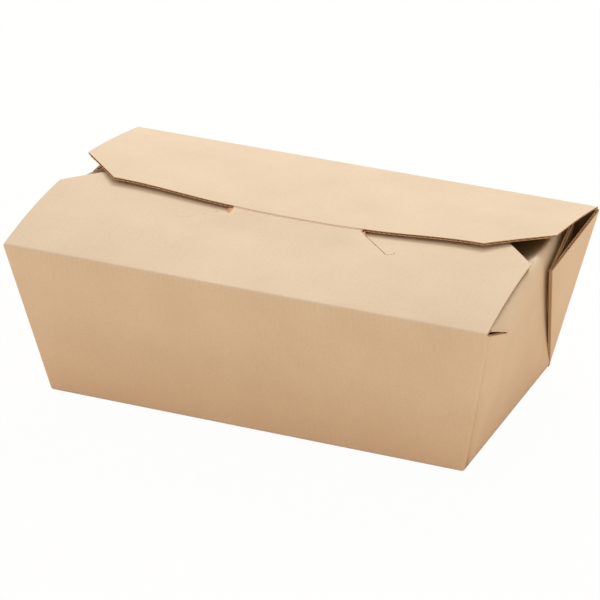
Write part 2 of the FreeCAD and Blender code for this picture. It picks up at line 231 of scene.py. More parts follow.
def end_wall_x(y, z):
    """Outside of the right end wall."""
    return BASE_X + lean_at(y) * z / WALL


web_low = Vector((BASE_X, BASE_Y, 0))
rear_flare = REAR_RIM_X - BASE_X
web_high = web_low + Vector((rear_flare, RIM_Y - BASE_Y, WALL)) * (rear_top / WALL)
web_tip = Vector((end_wall_x(WEB_TIP_Y, WEB_TIP_Z) + CLEAR + WEB_OFF + 2 * BOARD,
                  WEB_TIP_Y, WEB_TIP_Z))
web_edge = (web_high - web_low).normalized()
web_out = (web_tip - web_low) - web_edge * (web_tip - web_low).dot(web_edge)
tip_e, tip_w = web_out.length, (web_tip - web_low).dot(web_edge)
web_out.normalize()
wall_out = (X - web_edge * X.dot(web_edge)).normalized()
web_normal = web_edge.cross(web_out).normalized()
if web_normal.x < 0:
    web_normal.negate()
tip_length = math.hypot(tip_e, tip_w)
fold_along = (web_out * tip_e + web_edge * tip_w) / tip_length
fold_across = (web_out * tip_w - web_edge * tip_e) / tip_length
blank_edge = Vector((rear_flare, -slope)).normalized()
blank_out = Vector((slope, rear_flare)).normalized()
print("rear web's outer leaf reaches", round(tip_e, 1), "mm from the corner")


def on_web(along, across):
    """Blank place of a point on the rear web, from its distances along and across its fold."""
    e = (along * tip_e + across * tip_w) / tip_length
    w = (along * tip_w - across * tip_e) / tip_length
    spot = Vector((BASE_X, -BASE_Y)) + blank_out * e + blank_edge * w
    return spot.x, spot.y


# %% [markdown]
# Each panel of the strip has a fold of its own, from a place on the flat blank to its place in
# space. The lock tab bends up at its free edge until it is flush with the lid. The lid's tongue
# turns straight down and then follows its circle.


# %% Fold the panels of the long strip
def fold_front_wall(u, v):
    up = v - BASE_Y
    side_crease = BASE_X + flare * min(max(up, 0), slope) / slope
    turn = turn_back(u - side_crease, X, front_in, FOLD_RADIUS)
    foot = Vector((side_crease, -BASE_Y, 0)) + turn
    return foot + crease(up, -Y, front_up, BASE_CREASE)


def fold_front_flap(u, v):
    depth = v - crease_v
    z = front_height(u, depth)
    share = (depth - tab_root) / (tab_edge - tab_root)
    if 0 <= share <= 1.001 and abs(u) < TAB_ROOT_X - TAB_TAPER * share:
        z += share * (rear_height(u, SEAM) - front_height(u, tab_edge))
    return Vector((u, depth - RIM_Y, z))


def fold_rear_flap(u, v):
    depth = -v - crease_v
    if depth > SEAM - TONGUE_CREASE and abs(u) < SEAM_X - 0.15:
        start = Vector((u, RIM_Y - SEAM, rear_height(u, SEAM)))
        ahead = (start - fold_rear_flap(u, v + depth - SEAM + 1)).normalized()
        drop = crease(depth - SEAM, ahead, -Z, TONGUE_CREASE)
        if depth < SEAM + TONGUE_CREASE:
            return start + drop
        angle = math.asin((start.z - WALL) / hinge_radius) - (depth - SEAM) / hinge_radius
        return Vector((u, RIM_Y - hinge_radius * math.cos(angle),
                       WALL + hinge_radius * math.sin(angle)))
    return Vector((u, RIM_Y - depth, rear_height(u, depth)))


def fold_rear_wall(u, v):
    up = -v - BASE_Y
    offset = Vector((u - BASE_X, v + BASE_Y))
    e, w = offset.dot(blank_out), offset.dot(blank_edge)
    if (up < 0 and w < 0) or e < -CORNER_WRAP:
        return Vector((u, BASE_Y, 0)) + crease(up, Y, rear_up, BASE_CREASE)
    across = (e * tip_w - w * tip_e) / tip_length
    radius = min(CORNER_WRAP, max(0, w) * 0.4)
    if e > radius and across > -WEB_FOLD:
        along = (e * tip_e + w * tip_w) / tip_length
        turn = turn_back(across, fold_across, -web_normal, WEB_FOLD)
        return web_low + fold_along * along + turn
    return web_low + web_edge * w + crease(e, wall_out, web_out, radius)


# %% [markdown]
# A top flap is curved and its wall is flat, so the crease between them can't be given by two
# directions. It is a curve from a point of the wall to a point of the flap, drawn towards the
# corner where the two would meet.


# %% Fold the whole strip
def soft_crease(distance, wall_point, flap_point, corner):
    """The curve between a wall and a flap, on each side of their crease."""
    share = (distance + TOP_CREASE) / (2 * TOP_CREASE)
    return (wall_point * (1 - share) ** 2 + corner * (2 * share * (1 - share))
            + flap_point * share ** 2)


def fold_strip(u, v):
    """Place in space, in mm, of a place on the blank's long strip."""
    if u < 0:
        spot = fold_strip(-u, v)
        return Vector((-spot.x, spot.y, spot.z))
    past = abs(v) - crease_v
    wall, flap = (fold_front_wall, fold_front_flap) if v > 0 else (fold_rear_wall, fold_rear_flap)
    if past >= TOP_CREASE:
        return flap(u, v)
    if past <= -TOP_CREASE or u > (ROOT_X if v > 0 else REAR_ROOT_X) + 0.2:
        return wall(u, v)
    end = math.copysign(crease_v, v)
    corner = Vector((u, -math.copysign(RIM_Y, v), WALL))
    step = math.copysign(TOP_CREASE, v)
    return soft_crease(past, wall(u, end - step), flap(u, end + step), corner)


# %% [markdown]
# Folding an end strip
#
# Each end wall leans out, and its lean changes from front to rear because the two webs hold it
# differently. At the top it turns softly into the dust flap, which lies under both top flaps. At
# the front a narrow facet runs behind the folded front corner and on as the inner leaf of the
# front web. At the rear the sheet folds outwards and lies flat on the end wall as the inner leaf
# of the rear web.
#
# The sizes are those of the slit beside the front corner, of the facet, of the shoulder and crest
# at the wall's top, and of the dust flap behind them. Each top flap reaches FLAP_PAST beyond the
# middle of the box, and the crest stays UNDER below it.

# %% Sizes of an end strip
SLIT_Y, SLIT_FOOT, SLIT_HEAD = -45.5, 60.9, 64.8
FACET_WIDE, FACET_GAP, FACET_INSET = 12.5, 0.35, 0.7
SHOULDER, CREST, CREST_X, CREST_IN = 11.0, 1.0, 96.0, 3.2
CREST_HIGH, CREST_HIGH_Y, CREST_TILT = 70.7, -13.6, 0.13
DUST_DROP, DUST_LONG, DUST_PACE = 12.0, 40, 0.9
FLAP_PAST, UNDER = 8.5, 0.5

# %% [markdown]
# The end wall is drawn by straight lines from base to rim, one at each y. The facet joins the
# wall's front edge to a line just behind the folded front corner, and bends softly at both.


# %% Fold the end wall and its facet
def under_flaps(x, y):
    """The lower of the two top flaps' surfaces at a place in plan."""
    front = front_height(x, y + RIM_Y) if y < FLAP_PAST else math.inf
    rear = rear_height(x, RIM_Y - y) if y > -FLAP_PAST else math.inf
    return min(front, rear)


def end_panel(up, y):
    """A point on the end wall's own plane, at a distance up it."""
    lean = lean_at(y)
    return Vector((BASE_X + lean * up / math.hypot(lean, WALL), y,
                   WALL * up / math.hypot(lean, WALL)))


def fold_facet(up, across):
    """The narrow facet at the front of the end wall, and the web leaf that it becomes."""
    start = end_panel(up, -END_Y)
    z = start.z
    corner = Vector((BASE_X + flare * z / WALL, -BASE_Y - (RIM_Y - BASE_Y) * z / WALL, z))
    corner += front_in * (2 * FOLD_RADIUS + FACET_GAP) - X * FACET_INSET
    width = (corner - start).length
    ahead = (corner - start).normalized()
    along_wall = (end_panel(up, -END_Y) - end_panel(up, 1 - END_Y)).normalized()
    if across < width / 2:
        return start + crease(across, along_wall, ahead, min(2.0, width / 2))
    return corner + crease(across - width, ahead, -X, min(CORNER_WRAP, width / 2))


def wall_spot(up, y):
    """A point on the end wall or on its facet, before the bend into the dust flap."""
    return fold_facet(up, -END_Y - y) if y < 4 - END_Y else end_panel(up, y)


# %% [markdown]
# The end wall's top bends in over a wide shoulder until it all but touches the top flaps from
# below. That highest line is the crest. Past it the dust flap slopes down into the box.


# %% Fold the dust flap and the whole end strip
def fold_dust_flap(up, y):
    """The end wall's top, bent in to a crest under the top flaps, then down as the dust flap."""
    z = min(under_flaps(CREST_X, y) - BOARD - UNDER,
            CREST_HIGH - CREST_TILT * (y - CREST_HIGH_Y))
    top = z * math.hypot(lean_at(max(y, -END_Y)), WALL) / WALL
    start, aim = wall_spot(top - SHOULDER, y), wall_spot(top - SHOULDER / 2, y)
    crest = Vector((min(CREST_X, end_wall_x(max(y, -END_Y), z) - CREST_IN), aim.y, z))
    before = (crest - aim).normalized()
    past = up - top
    if past <= -SHOULDER:
        return wall_spot(up, y)
    if past < -CREST:
        share = past / SHOULDER + 1
        return start * (1 - share) ** 2 + aim * (2 * share * (1 - share)) + crest * share ** 2
    part = min(max(past, 0) / DUST_LONG, 1)
    steep = Vector((-DUST_PACE, 0, -2 * DUST_DROP / DUST_LONG)).normalized()
    if past < CREST:
        return crest + crease(past, before, steep, CREST)
    return crest + Vector((-DUST_PACE * past, 0, -DUST_DROP * (1 - (1 - part) ** 2)))


def slit_up(y):
    """How far up the end wall the slit is that frees the bend from the facet."""
    share = (SLIT_Y - y) / (SLIT_Y + END_Y + FACET_WIDE)
    return SLIT_FOOT + (SLIT_HEAD - SLIT_FOOT) * share


def fold_end(u, v):
    """Place in space of a place on the right end strip."""
    up, y = u - BASE_X, -v
    if up < BASE_CREASE:
        wall_up = Vector((lean_at(y), 0, WALL)).normalized()
        return Vector((BASE_X, y, 0)) + crease(up, X, wall_up, BASE_CREASE)
    if y < SLIT_Y and up < slit_up(y):
        return fold_facet(up, -END_Y - y)
    if y > END_Y:
        turn = turn_back(y - END_Y, Y, X, CLEAR / 2)
        off = (WEB_OFF + 2 * (BOARD - WEB_FOLD)) * max(0, -turn.y) / (END_Y - WEB_TIP_Y)
        return end_panel(up, END_Y + turn.y) + X * (turn.x + off)
    return fold_dust_flap(up, y)


# %% [markdown]
# From flat blank to folded layer
#
# A layer starts as one flat face with the blank's outline. Bisecting it along straight lines adds
# the vertices that a fold or a wave needs, and keeps the outline exact. Extruding it gives the
# layer its thickness. Then each vertex goes to its folded place, moved along the sheet's normal
# by its own depth. The blank's flat place is kept as a UV map, so that a pattern in the paper
# follows the sheet round every fold.


# %% Cut the flat sheet
def score(bm, spot, normal, near=None):
    """Adds a line of vertices across the flat blank, through spot and square to normal."""
    faces = [f for f in bm.faces if near is None or near(f.calc_center_median())]
    geometry = set(faces)
    for face in faces:
        geometry.update(face.verts)
        geometry.update(face.edges)
    bmesh.ops.bisect_plane(bm, geom=list(geometry), dist=1e-4,
                           plane_co=Vector((*spot, 0)), plane_no=Vector((*normal, 0)))


def spaced(low, high, step):
    count = max(1, round((high - low) / step))
    return [low + (high - low) * i / count for i in range(1, count)]


# %% [markdown]
# The sheet's normal comes from the fold itself, by trying it a hair to each side of a place. Near
# a fold or a knife the real board is crushed, so the layers close up there. A line of crushed
# board is given by its two ends, how far it reaches and the share of the thickness that is left.


# %% Normal and thickness of the sheet
def sheet_normal(fold, u, v):
    """Direction square to the folded sheet, towards its outside."""
    step = 0.04
    along = fold(u + step, v) - fold(u - step, v)
    across = fold(u, v + step) - fold(u, v - step)
    return along.cross(across).normalized()


def thin_near(lines):
    """Share of its full thickness that the board keeps near lines where it is crushed."""
    def share(u, v):
        spot = Vector((abs(u), v))
        kept = 1.0
        for start, end, reach, least in lines:
            start, way = Vector(start), Vector(end) - Vector(start)
            part = min(max((spot - start).dot(way) / way.length_squared, 0), 1)
            off = (spot - start - way * part).length
            kept = min(kept, least + (1 - least) * min(off / reach, 1))
        return kept
    return share


# %% [markdown]
# Each layer has a level, the depth of its outer face below the board's outside, and a thickness.
# The medium's level is the middle of its wave, which just touches both liners.

# %% Fold one layer
LEVELS = {
    "outer": (0.0, LINER),
    "medium": ((MEDIUM - BOARD) / 2, MEDIUM),
    "inner": (LINER - BOARD, LINER),
}
WAVE = (BOARD - 2 * LINER - MEDIUM) / 2
FACES_PER_FLUTE = 6
SHARP = math.radians(35)
MAP_UNIT = 100


def folded_layer(name, layer, outlines, fold, step, v_lines, scores, mirror, thin):
    """One layer of the board: cut flat, given its thickness, and folded."""
    bm = bmesh.new()
    for outline in outlines:
        bm.faces.new([bm.verts.new((u, v, 0)) for u, v in outline])
    bmesh.ops.remove_doubles(bm, verts=bm.verts, dist=1e-3)
    us = [v.co.x for v in bm.verts]
    step = FLUTE_PITCH / FACES_PER_FLUTE if layer == "medium" else step
    for u in spaced(min(us), max(us), step):
        score(bm, (u, 0), (1, 0))
    for v in v_lines:
        score(bm, (0, v), (0, 1))
    for line in scores:
        score(bm, *line)
    level, thickness = LEVELS[layer]
    made = bmesh.ops.extrude_face_region(bm, geom=bm.faces[:])
    for item in made["geom"]:
        if isinstance(item, bmesh.types.BMVert):
            item.co.z = -thickness
    bmesh.ops.recalc_face_normals(bm, faces=bm.faces)
    blank_map = bm.loops.layers.uv.new("blank")
    for face in bm.faces:
        face.smooth = True
        cut = abs(face.normal.z) < 0.5
        face.material_index = 1 if cut else 0
        for loop in face.loops:
            u, v, depth = loop.vert.co
            loop[blank_map].uv = (u / MAP_UNIT, (v + depth) / MAP_UNIT)
    for edge in bm.edges:
        edge.smooth = edge.calc_face_angle(0) < SHARP
    for vert in bm.verts:
        u, v, depth = vert.co
        if layer == "medium":
            depth += WAVE * math.sin(2 * math.pi * u / FLUTE_PITCH)
        vert.co = (fold(u, v) + sheet_normal(fold, u, v) * (level + depth) * thin(u, v)) * MM
        if mirror:
            vert.co.x = -vert.co.x
    if mirror:
        bmesh.ops.reverse_faces(bm, faces=bm.faces)
    mesh = bpy.data.meshes.new(name)
    bm.to_mesh(mesh)
    bm.free()
    piece = bpy.data.objects.new(name, mesh)
    bpy.context.scene.collection.objects.link(piece)
    return piece


# %% [markdown]
# All three layers are cut from the same outline and folded by the same rule, so they lie on each
# other as the glued layers of real board do. They differ in level, thickness and wave.


# %% Fold all three layers
def board(name, outlines, fold, step, v_lines, scores=(), mirror=False, crushed=()):
    """All three layers of one stretch of the blank."""
    pieces = []
    for layer in LEVELS:
        piece = folded_layer("%s_%s" % (name, layer), layer, outlines, fold, step, v_lines,
                             scores, mirror, thin_near(crushed))
        for material in finishes[layer]:
            piece.data.materials.append(material)
        pieces.append(piece)
    print(name, [len(piece.data.polygons) for piece in pieces], "faces")
    return pieces


# %% [markdown]
# Shader maths as Python
#
# A small class stands for a socket of a node tree. Adding or multiplying two of them adds the
# Math node that does it, so that a pattern reads as a formula.


# %% Sockets with arithmetic
class Socket:
    def __init__(self, finish, out):
        self.finish, self.out = finish, out

    def math(self, operation, *values):
        return self.finish.add("ShaderNodeMath", {"operation": operation},
                               dict(enumerate(values)))

    def __add__(self, other):
        return self.math("ADD", self, other)

    def __mul__(self, other):
        return self.math("MULTIPLY", self, other)

    def __sub__(self, other):
        return self.math("SUBTRACT", self, other)

    def __rsub__(self, other):
        return self.math("SUBTRACT", other, self)

    __radd__, __rmul__ = __add__, __mul__

    def clamped(self):
        return self.finish.add("ShaderNodeClamp", {}, {0: self})


class Finish:
    """A material in the making."""

    def __init__(self, name):
        self.material = bpy.data.materials.new(name)
        self.material.use_nodes = True
        self.nodes = self.material.node_tree.nodes
        self.nodes.clear()

    def add(self, kind, settings, inputs, output=0):
        """Adds any node: its settings first, then the values or links of its sockets."""
        node = self.nodes.new(kind)
        for setting, value in settings.items():
            setattr(node, setting, value)
        for key, value in inputs.items():
            socket = node.inputs[key]
            if isinstance(value, Socket):
                self.material.node_tree.links.new(value.out, socket)
            else:
                socket.default_value = value
        return Socket(self, node.outputs[output]) if node.outputs else None

    def noise(self, place, scale, detail=3.0, roughness=0.5):
        return self.add("ShaderNodeTexNoise", {}, {
            "Vector": place, "Scale": scale, "Detail": detail, "Roughness": roughness})

    def axis(self, vector, index):
        return self.add("ShaderNodeSeparateXYZ", {}, {0: vector}, output=index)

    def mix(self, share, first, second):
        return self.add("ShaderNodeMix", {"data_type": "RGBA"}, {
            "Factor": share, 6: first, 7: second}, output=2)

    def spread(self, value, low, high):
        """The value's share of the way from low to high, from 0 to 1."""
        return self.add("ShaderNodeMapRange", {}, {
            "Value": value, "From Min": low, "From Max": high})


def colour(red, green, blue):
    """Linear colour of an sRGB colour given from 0 to 255."""
    def linear(level):
        level /= 255
        return level / 12.92 if level <= 0.04045 else ((level + 0.055) / 1.055) ** 2.4
    return (linear(red), linear(green), linear(blue), 1.0)


# %% [markdown]
# Kraft paper
#
# Kraft liner is pale brown, a little cloudy, with short fibres that lie every way. Over the
# flutes it shows a faint washboard, which follows the blank's u direction, so the UV map drives
# it. The washboard is strongest where a wall is pleated below its top crease. The inside liner is
# painted browner and darker: partly a browner paper, partly painted shade of the pockets it lines.
# The medium shows only at cut edges.

# %% Measures of the paper's patterns
CLOUD_SCALE, SPECK_SCALE = 45.0, 900.0
FIBRE_SCALE = (60.0, 420.0, 1.0)
PLEATS_LONG = 7
# Colours of the painted shade along the rear web's fold and of the painted bounce light near the
# table.
FOLD_SHADE_COLOUR, BOUNCE_COLOUR = colour(150, 104, 66), colour(214, 168, 126)
BOUNCE_HEIGHT, BOUNCE_SHARE = 0.04, 0.22
web_line = (Vector(on_web(1, 0)) - Vector(on_web(0, 0))).normalized()

# %% [markdown]
# Along the rear web's fold the paper is painted darker in a row of dots: painted shade of the fold
# edge. The dots are a pattern on the distances along and across that line of the blank. The sheet
# is also painted a
# little warmer near the table: painted bounce light from it.


# %% Kraft paper finishes
def fold_shade_dots(finish, u, v):
    """Share of painted shade, in dark dots, along the fold line of the rear web."""
    e, w = u - BASE_X, v + BASE_Y
    along = e * web_line.x + w * web_line.y
    across = e.math("ABSOLUTE", e * web_line.y - w * web_line.x)
    dots = along.math("SINE", along * 5.0) * 0.5 + 0.8
    return (finish.spread(across, 0.75, 0.35) * finish.spread(along, 0, 2) * dots).clamped()


# washboard also sets how strong the painted fold shade and the painted bounce light are.
def kraft_paper(name, pale, dark, washboard):
    finish = Finish(name)
    spot = finish.add("ShaderNodeTexCoord", {}, {}, output=3)
    blank = finish.add("ShaderNodeTexCoord", {}, {}, output=2)
    clouds = finish.noise(spot, CLOUD_SCALE, 4.0)
    specks = finish.noise(spot, SPECK_SCALE, 4.0, 0.7)
    threads = finish.add("ShaderNodeMapping", {}, {"Vector": blank, "Scale": FIBRE_SCALE})
    fibres = finish.noise(threads, 1.0, 5.0, 0.6)
    across, v = finish.axis(blank, 0), finish.axis(blank, 1) * MAP_UNIT
    flutes = across.math("SINE", across * (2 * MAP_UNIT * math.pi / FLUTE_PITCH))
    u, far = across.math("ABSOLUTE", across * MAP_UNIT), v.math("ABSOLUTE", v)
    pleats = (finish.spread(far, crease_v - PLEATS_LONG, crease_v - 1)
              * finish.spread(far, crease_v + 1, crease_v))
    shade = (finish.spread(clouds, 0.3, 0.75) * 0.3 + finish.spread(specks, 0.3, 0.75) * 0.3
             + finish.spread(fibres, 0.3, 0.75) * 0.5
             + flutes * (pleats * 0.05 + 0.02) * washboard)
    tone = finish.mix(shade.clamped(), pale, dark)
    # Painted shade: dark dots along the rear web's fold edge.
    tone = finish.mix(fold_shade_dots(finish, u, v) * washboard, tone, FOLD_SHADE_COLOUR)
    # Painted bounce light: the colour turns warmer near the table.
    low = finish.spread(finish.axis(spot, 2), BOUNCE_HEIGHT, 0.0) * (BOUNCE_SHARE * washboard)
    tone = finish.mix(low, tone, BOUNCE_COLOUR)
    height = fibres * 0.4 + specks * 0.4 + flutes * (pleats * 0.6 + 0.18) * washboard
    bump = finish.add("ShaderNodeBump", {}, {
        "Strength": 0.25, "Distance": 0.0001, "Height": height})
    shader = finish.add("ShaderNodeBsdfPrincipled", {}, {
        "Base Color": tone, "Roughness": 0.85, "Normal": bump, "Specular IOR Level": 0.25})
    finish.add("ShaderNodeOutputMaterial", {}, {0: shader})
    return finish.material


outside_paper = kraft_paper("kraft_outside", colour(238, 224, 203), colour(220, 202, 178), 1.0)
# The inside liner's colours are partly a browner paper and partly painted shade of the pockets.
inside_paper_shaded = kraft_paper("kraft_inside_shaded", colour(206, 172, 134), colour(172, 137, 100), 0.6)
medium_paper = kraft_paper("kraft_medium", colour(236, 194, 150), colour(204, 158, 114), 0.0)
cut_paper = kraft_paper("kraft_cut_edge", colour(246, 214, 176), colour(220, 180, 140), 0.0)
finishes = {
    "outer": (outside_paper, cut_paper),
    "medium": (medium_paper, medium_paper),
    "inner": (inside_paper_shaded, cut_paper),
}
print("papers", [paper.name for paper in (outside_paper, inside_paper_shaded, medium_paper, cut_paper)])

# %% [markdown]
# The long strip
#
# Its outline is drawn once for the right half, from the rear wall's top edge round the webs to
# the front flap and its lock tab, and mirrored for the left half. A sheet that folds back needs
# some of its length for the arc, so the leaves past a fold start that much further out.

# %% Places on the long strip
LEAF_TOP, LEAF_WIDE = 61, 27
JOIN_X, JOIN_Y = 82, 47.1
SLOT_X, SLOT_ROOT_X = 27.1, 40.4
SLIT_END_X, SLIT_TURN_X, TAB_EDGE_X = 27.3, 27.2, 26.9
wall_v = BASE_Y + slope * rear_top / WALL
leaf_top_v = BASE_Y + slope * LEAF_TOP / WALL
leaf_top_u = BASE_X + flare * LEAF_TOP / WALL
flange = (math.pi - 1) * WEB_FOLD
fold_room = (math.pi - 1) * FOLD_RADIUS
print("the front leaves start", round(fold_room, 2), "mm past their fold")

# %% [markdown]
# A short slot beside each leg of the lock tab sets it free. At its root the slot ends in a small
# hook, which stops the board from tearing. The slot is drawn as a middle line with two sides.

# %% Slot beside the lock tab
hook = [(SLOT_ROOT_X, tab_root + 1.2), (41.2, tab_root + 0.1), (42.6, tab_root - 0.1),
        (44.0, tab_root + 0.2), (44.6, tab_root + 1.1), (44.4, tab_root + 2.0)]


def slot_side(offset):
    """One side of the slot that frees the lock tab's leg, at an offset from its middle line."""
    path = [Vector((SLOT_X, tab_edge)), *(Vector(spot) for spot in hook)]
    side = []
    for before, here, after in zip(path, path[1:], path[2:] + path[-1:]):
        way = (after - before).normalized()
        side.append((here.x - way.y * offset, crease_v + here.y + way.x * offset))
    return side


# %% [markdown]
# Seen with the front flap at the top, the outline runs against the clock. Near the rear web it
# steps out from the wall's top edge to the rim, and at the base it leaves a notch for the end
# strip.


# %% Outline of the long strip
def mirrored(outline):
    return [(-u, v) for u, v in reversed(outline)]


def strip_half(cut):
    """Outline of the right half, with its lock tab cut free by slots about twice cut wide."""
    return [
        (0, -wall_v),
        (REAR_ROOT_X + 0.4, -wall_v),
        (REAR_ROOT_X + 0.5, -crease_v + 1.0),
        (REAR_RIM_X - 0.3, -crease_v + 1.2),
        on_web(tip_length, 0),
        on_web(tip_length, flange),
        on_web(5, flange),
        (BASE_X, -BASE_Y),
        (BASE_X, -JOIN_Y),
        (JOIN_X, -JOIN_Y),
        (JOIN_X, JOIN_Y),
        (BASE_X, JOIN_Y),
        (BASE_X, BASE_Y),
        (leaf_top_u + fold_room + LEAF_WIDE, leaf_top_v),
        (leaf_top_u + fold_room, leaf_top_v),
        (ROOT_X, crease_v),
        (SIDE_X, crease_v + FLAP_SIDE),
        (CORNER_X, crease_v + FLAP_CORNER),
        (0, crease_v + FLAP_CORNER),
        (0, crease_v + slit_rear),
        (SLIT_END_X, crease_v + slit_rear),
        (SLIT_TURN_X, crease_v + tab_edge),
        *slot_side(cut),
        *slot_side(-cut)[::-1],
        (TAB_EDGE_X, crease_v + tab_edge),
        (0, crease_v + tab_edge),
    ]


# %% [markdown]
# Every crease needs lines of vertices across the sheet, or the sheet couldn't turn there. Lines
# that run straight across the blank are given by their v. The slanted ones are given by a spot,
# a direction and the part of the blank where they are cut.


# %% Score lines of the long strip
def fold_steps(radius, count=6):
    """Distances from a crease at which a layer needs a line of vertices to turn it."""
    return [radius * (2 * i / count - 1) for i in range(count + 1)]


def arc_steps(radius, count=8):
    return [radius * (math.pi * i / count - 1) for i in range(count + 1)]


strip_lines = []
for line in (BASE_Y, -BASE_Y):
    strip_lines += [line + step for step in fold_steps(BASE_CREASE)]
strip_lines += [crease_v + step for step in fold_steps(TOP_CREASE)]
strip_lines += [crease_v + depth for depth in spaced(0, FLAP_CORNER, 4)]
strip_scores = []
WEBS_FROM = 80
for side in (1, -1):
    square = Vector((slope * side, -flare)).normalized()
    for step in arc_steps(FOLD_RADIUS):
        strip_scores.append((((BASE_X + step) * side, BASE_Y), square,
                             lambda c, s=side: BASE_Y < c.y < crease_v and c.x * s > WEBS_FROM))
    out = Vector((blank_out.x * side, blank_out.y))
    for step in fold_steps(CORNER_WRAP, 4):
        spot = Vector((BASE_X * side, -BASE_Y)) + out * step
        strip_scores.append((spot, out, lambda c, s=side: c.y < -BASE_Y and c.x * s > WEBS_FROM))
    start = Vector(on_web(0, 0))
    across = Vector(on_web(0, 1)) - start
    for step in arc_steps(WEB_FOLD):
        spot = start + across * step
        strip_scores.append(((spot.x * side, spot.y), (across.x * side, across.y),
                             lambda c, s=side: c.y < -BASE_Y and c.x * s > BASE_X + 0.1))
print(len(strip_lines), "straight and", len(strip_scores), "slanted score lines")

# %% [markdown]
# In the photograph the slot at the tab's right stands open and the one at its left hardly shows,
# so the two halves have slots of different widths. A line of crushed board runs along each cut
# flap side, each folded web and the lock.

# %% Fold the long strip
COARSE, FINE = 4.0, 1.5
SLOT_RIGHT, SLOT_LEFT = 0.13, 0.03
rear_score = ((0, -crease_v), (REAR_ROOT_X, -crease_v), FLAP_ROOT, 0.4)
strip_crushed = [
    rear_score,
    ((ROOT_X, crease_v + 1), (SIDE_X, crease_v + FLAP_SIDE), 3.0, 0.3),
    (on_web(0, 0), on_web(tip_length, 0), 12.0, 0.4),
    ((SLOT_X, crease_v + tab_edge), (SLOT_ROOT_X, crease_v + tab_root), 1.5, 0.3),
    ((0, crease_v + tab_edge), (SLOT_X, crease_v + tab_edge), 1.0, 0.5),
]
strip_halves = [strip_half(SLOT_RIGHT), mirrored(strip_half(SLOT_LEFT))]
strip = board("strip", strip_halves, fold_strip, COARSE, strip_lines, strip_scores,
              crushed=strip_crushed)
for piece in strip:
    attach(piece, "box")
    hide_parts("box_body")

# %% [markdown]
# The end strips
#
# One end strip is drawn for the right and mirrored for the left. Its flutes run from front to
# rear, as they do on the whole blank, so they cross its dust flap and show at its two sides. The
# strip starts a little inside the base, in the long strip's notch, so that the seam between the
# two strips lies on the flat and the crease is all one sheet.

# %% Outline of an end strip
end_rear_top = BASE_X + rear_top * math.hypot(LEAN_REAR, WALL) / WALL
tip_up = BASE_X + WEB_TIP_Z * math.hypot(lean_at(WEB_TIP_Y), WALL) / WALL
DUST_END, DUST_END_Y = 197.0, 38
leaf_foot = Vector((BASE_X + 2.6, -END_Y))
leaf_tip = Vector((tip_up - 0.3, -2 * END_Y + WEB_TIP_Y + 1.4))
end_outline = [
    (JOIN_X, -END_Y),
    (BASE_X + 14, -END_Y),
    tuple(leaf_foot.lerp(leaf_tip, 0.55)),
    tuple(leaf_tip),
    (end_rear_top, -END_Y),
    (end_rear_top + 6, -END_Y),
    (DUST_END, -DUST_END_Y),
    (DUST_END, DUST_END_Y),
    (BASE_X + 80, END_Y),
    (BASE_X + SLIT_HEAD + 1.4, END_Y + FACET_WIDE),
    (BASE_X + SLIT_FOOT + 0.15, -SLIT_Y),
    (BASE_X + SLIT_HEAD - 0.9, END_Y + FACET_WIDE),
    (BASE_X + SLIT_HEAD - 2.0, END_Y + 39),
    (BASE_X + 4, END_Y + 1.5),
    (BASE_X, END_Y),
    (JOIN_X, END_Y),
]

# %% [markdown]
# Lines of vertices lie close together where the facet bends at the front and where the sheet
# turns right back at the rear, and further apart on the wall between them.

# %% Fold the end strips
end_lines = [END_Y + d for d in (0, 2, 4, 6, 8, 10, 11, 12, 13, 14)]
end_lines += [-END_Y - step for step in (0, 0.12, 0.24, 0.36, 0.5)]
end_lines += spaced(-END_Y, END_Y, 5)
for name, mirror in (("end_right", False), ("end_left", True)):
    for piece in board(name, [end_outline], fold_end, FINE, end_lines, mirror=mirror,
                       crushed=[(leaf_foot, leaf_tip, 12.0, 0.4)]):
        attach(piece, "box")
        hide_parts("box_body")

# %% [markdown]
# The rear flap and its crease
#
# The rear flap is the lid. It carries a tongue that turns down behind the front flap's tab. The
# strip of board over its crease bends as the lid opens. Here that strip is a piece of its own,
# folded in place and attached to neither body.

# %% Outline of the rear flap
TONGUE_LONG, TONGUE_ROOT_X, TONGUE_END_X = 10, 26.6, 21.75
flap_right = [
    (0, -crease_v - FLAP_ROOT),
    (REAR_ROOT_X, -crease_v - FLAP_ROOT),
    (REAR_SIDE_X, -crease_v - FLAP_SIDE),
    (CORNER_X, -crease_v - FLAP_CORNER),
    (SEAM_X, -crease_v - SEAM),
    (TONGUE_ROOT_X, -crease_v - SEAM - 0.3),
    (TONGUE_END_X, -crease_v - SEAM - TONGUE_LONG),
    (0, -crease_v - SEAM - TONGUE_LONG),
]
flap_lines = [-crease_v - depth for depth in spaced(0, SEAM - 1, 4)]
flap_lines += [-crease_v - SEAM - step for step in fold_steps(TONGUE_CREASE)]
flap_lines += [-crease_v - SEAM - step for step in (3, 5.5, 8)]
flap_crushed = [
    ((REAR_ROOT_X, -crease_v - 4), (REAR_SIDE_X, -crease_v - FLAP_SIDE), 2.0, 0.45),
    ((REAR_SIDE_X, -crease_v - FLAP_SIDE), (CORNER_X, -crease_v - FLAP_CORNER), 2.0, 0.8),
    ((CORNER_X, -crease_v - FLAP_CORNER), (SEAM_X, -crease_v - SEAM), 2.0, 0.8),
]
flap_halves = [flap_right[::-1], mirrored(flap_right[::-1])]
for piece in board("rear_flap", flap_halves, fold_strip, COARSE, flap_lines,
                   crushed=flap_crushed):
    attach(piece, "rear_flap")
    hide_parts("rear_flap")

# %% [markdown]
# The crease starts to bend just on the flap's side of the wall's top, because the wall itself
# stays where it is. The places of that start and of the flap's root are worked out as fold_from
# and fold_to, but nothing uses them, so the strip doesn't follow either body.

